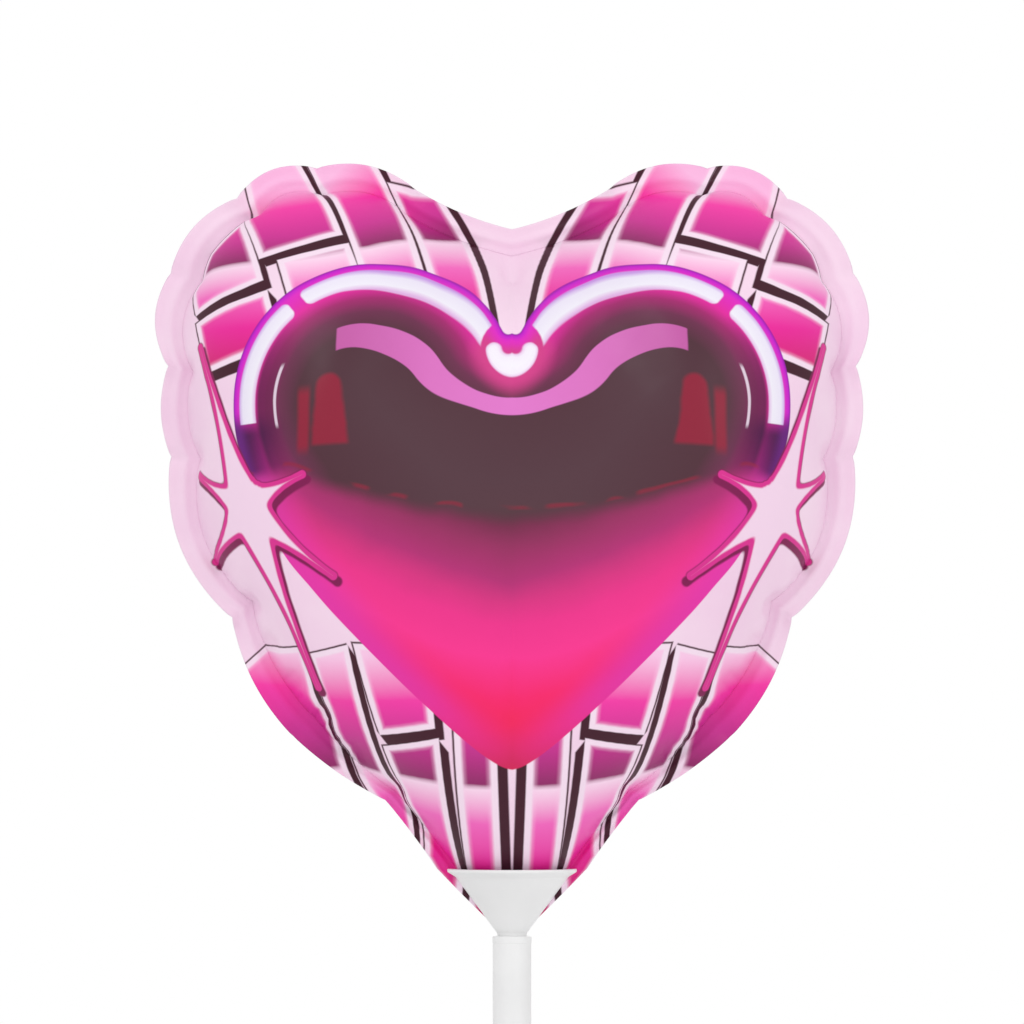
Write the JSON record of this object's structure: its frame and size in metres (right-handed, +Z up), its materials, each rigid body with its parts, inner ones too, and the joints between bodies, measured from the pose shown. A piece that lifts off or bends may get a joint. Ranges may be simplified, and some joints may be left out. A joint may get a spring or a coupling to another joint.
{
  "type": "heart-shaped foil balloon on a stick",
  "caption": "Inflated heart-shaped foil balloon with a welded edge and self-sealing tail, seated in a slotted cup on a hollow stick.",
  "frame": {"origin": "middle of the stick's lower end", "axes": "+Z up along the stick, -Y the way the printed front faces, +X across the heart in the plane of its welded edge"},
  "size_m": [0.127, 0.0582, 0.3167],
  "materials": {
    "printed_film": "pink print on satin metallised film",
    "pale_film": "pale pink satin metallised film",
    "clear_film": "clear polyethylene film",
    "white_plastic": "moulded, slightly satin white"
  },
  "bodies": {
    "stick": {"stick": "white_plastic"},
    "cup": {"cup": "white_plastic"},
    "balloon": {"front_panel": "printed_film", "back_panel": "printed_film", "seam_flange": "pale_film", "valve_film_front": "clear_film", "valve_film_back": "clear_film"}
  },
  "joints": [
    {"name": "cup_twist", "type": "hinge", "parent": "stick", "child": "cup", "pos_m": [0, 0, 0.18], "axis": [0, 0, 1], "continuous": true},
    {"name": "balloon_pull", "type": "slide", "parent": "cup", "child": "balloon", "axis": [0, 0, 1], "range_m": [0, 0.045]}
  ]
}
